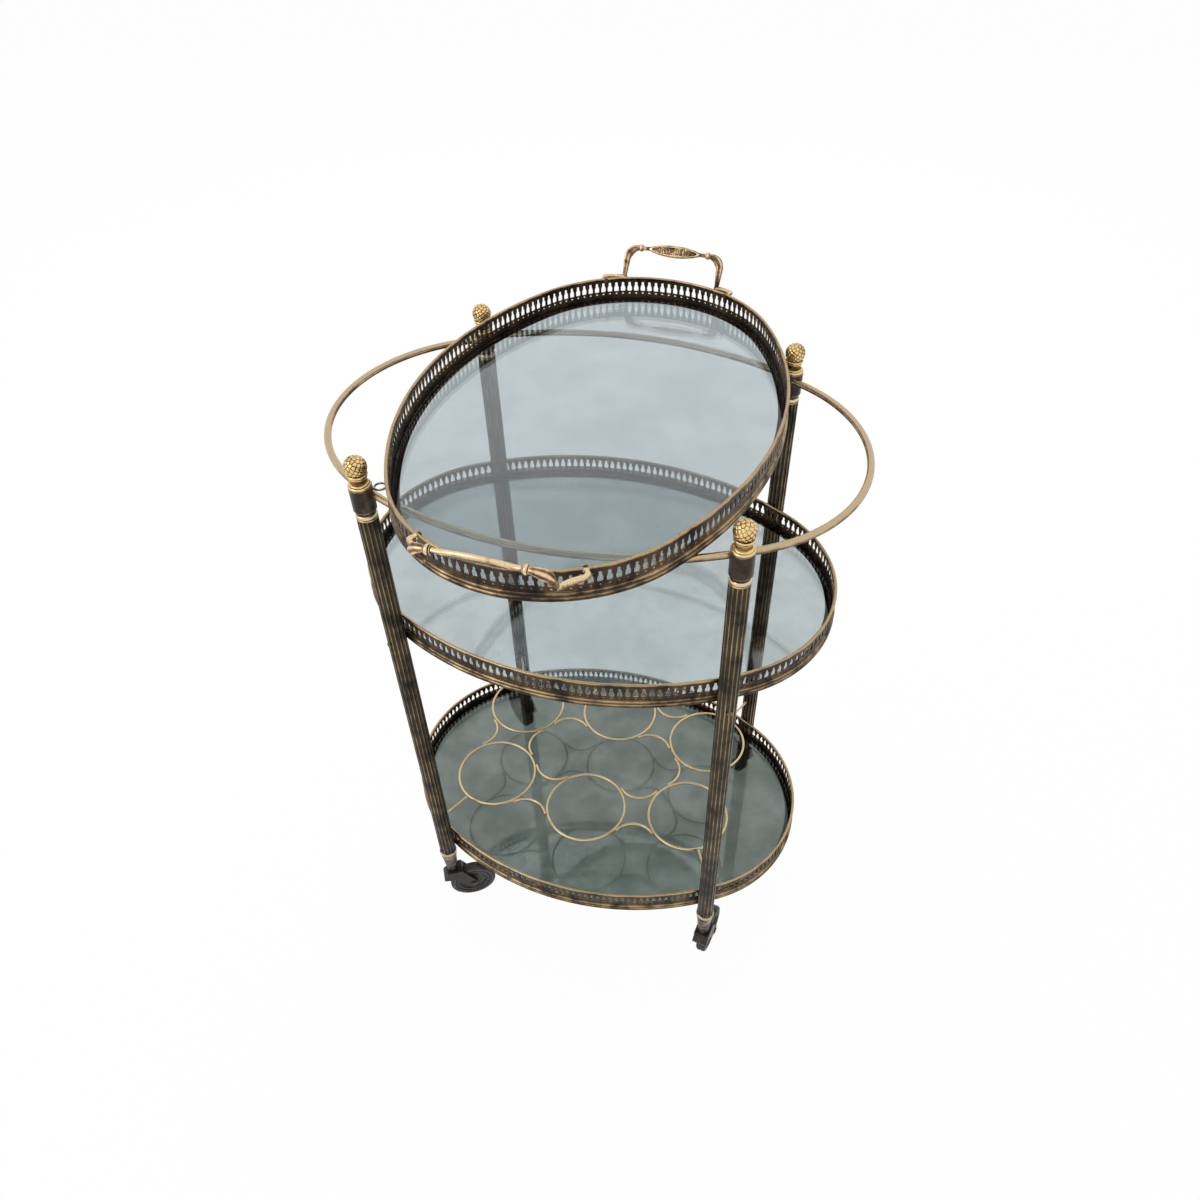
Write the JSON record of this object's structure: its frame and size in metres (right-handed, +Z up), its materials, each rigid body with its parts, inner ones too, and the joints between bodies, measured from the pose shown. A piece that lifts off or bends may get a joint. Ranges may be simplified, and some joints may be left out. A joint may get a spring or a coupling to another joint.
{
  "type": "serving trolley",
  "caption": "Oval serving trolley: pierced gallery shelves of glass between fluted brass columns, a bottle holder, a hoop with a lift-off gallery tray, and swivel casters.",
  "frame": {"origin": "on the floor below the centre of the two fixed shelves; the loose tray lies about 10 mm further back, which puts the middle of the bounding box behind this point", "axes": "+Z up; X along the long axis of the two fixed shelves; the front, which the picture was taken from, is towards -Y; the tray lies crosswise, along Y"},
  "size_m": [0.548, 0.5846, 0.7755],
  "materials": {
    "column_brass": "fluted, dark aged patina",
    "collar_brass": "aged",
    "sleeve_brass": "dark aged patina",
    "finial_brass": "cast, polished by handling",
    "hoop_brass": "aged satin",
    "gallery_brass": "pressed, dark aged patina",
    "shelf_glass": "clear float glass",
    "screw_brass": "worn",
    "holder_brass": "satin",
    "ferrule_brass": "aged",
    "handle_brass": "polished by handling, brown patina",
    "caster_black": "black, worn",
    "axle_steel": "dull",
    "wheel_black": "matte",
    "tyre_black": "matte rubber"
  },
  "bodies": {
    "trolley": {"column_fl": "column_brass", "column_fr": "column_brass", "column_bl": "column_brass", "column_br": "column_brass", "bead_collars": "collar_brass", "sleeve_fl": "sleeve_brass", "sleeve_fr": "sleeve_brass", "sleeve_bl": "sleeve_brass", "sleeve_br": "sleeve_brass", "sleeve_eyelets": "sleeve_brass", "finial_fl": "finial_brass", "finial_fr": "finial_brass", "finial_bl": "finial_brass", "finial_br": "finial_brass", "hoop_front_rail": "hoop_brass", "hoop_back_rail": "hoop_brass", "hoop_left_bow": "hoop_brass", "hoop_right_bow": "hoop_brass", "middle_gallery": "gallery_brass", "middle_glass": "shelf_glass", "bottom_gallery": "gallery_brass", "bottom_glass": "shelf_glass", "shelf_screws": "screw_brass", "bottle_holder": "holder_brass", "ferrule_fl": "ferrule_brass", "ferrule_fr": "ferrule_brass", "ferrule_bl": "ferrule_brass", "ferrule_br": "ferrule_brass"},
    "tray": {"tray_gallery": "gallery_brass", "tray_glass": "shelf_glass", "tray_handle_front": "handle_brass", "tray_handle_back": "handle_brass", "handle_rivets": "screw_brass"},
    "caster_fl": {"caster_hood_fl": "caster_black", "axle_fl": "axle_steel"},
    "wheel_set_fl": {"wheel_fl": "wheel_black", "tyre_fl": "tyre_black"},
    "caster_fr": {"caster_hood_fr": "caster_black", "axle_fr": "axle_steel"},
    "wheel_set_fr": {"wheel_fr": "wheel_black", "tyre_fr": "tyre_black"},
    "caster_bl": {"caster_hood_bl": "caster_black", "axle_bl": "axle_steel"},
    "wheel_set_bl": {"wheel_bl": "wheel_black", "tyre_bl": "tyre_black"},
    "caster_br": {"caster_hood_br": "caster_black", "axle_br": "axle_steel"},
    "wheel_set_br": {"wheel_br": "wheel_black", "tyre_br": "tyre_black"}
  },
  "joints": [
    {"name": "tray_lift", "type": "slide", "parent": "trolley", "child": "tray", "axis": [0, 0, 1], "range_m": [0, 0.25]},
    {"name": "swivel_fl", "type": "hinge", "parent": "trolley", "child": "caster_fl", "pos_m": [-0.17594, -0.1525, 0.09], "axis": [0, 0, 1], "continuous": true},
    {"name": "roll_fl", "type": "hinge", "parent": "caster_fl", "child": "wheel_set_fl", "pos_m": [-0.15516, -0.1405, 0.031], "axis": [-0.5, 0.866, 0], "continuous": true},
    {"name": "swivel_fr", "type": "hinge", "parent": "trolley", "child": "caster_fr", "pos_m": [0.17594, -0.1525, 0.09], "axis": [0, 0, 1], "continuous": true},
    {"name": "roll_fr", "type": "hinge", "parent": "caster_fr", "child": "wheel_set_fr", "pos_m": [0.1797, -0.1288, 0.031], "axis": [-0.9877, 0.1564, 0], "continuous": true},
    {"name": "swivel_bl", "type": "hinge", "parent": "trolley", "child": "caster_bl", "pos_m": [-0.17594, 0.1525, 0.09], "axis": [0, 0, 1], "continuous": true},
    {"name": "roll_bl", "type": "hinge", "parent": "caster_bl", "child": "wheel_set_bl", "pos_m": [-0.19433, 0.16793, 0.031], "axis": [-0.6428, -0.766, 0], "continuous": true},
    {"name": "swivel_br", "type": "hinge", "parent": "trolley", "child": "caster_br", "pos_m": [0.17594, 0.1525, 0.09], "axis": [0, 0, 1], "continuous": true},
    {"name": "roll_br", "type": "hinge", "parent": "caster_br", "child": "wheel_set_br", "pos_m": [0.15756, 0.16793, 0.031], "axis": [-0.6428, -0.766, 0], "continuous": true}
  ]
}
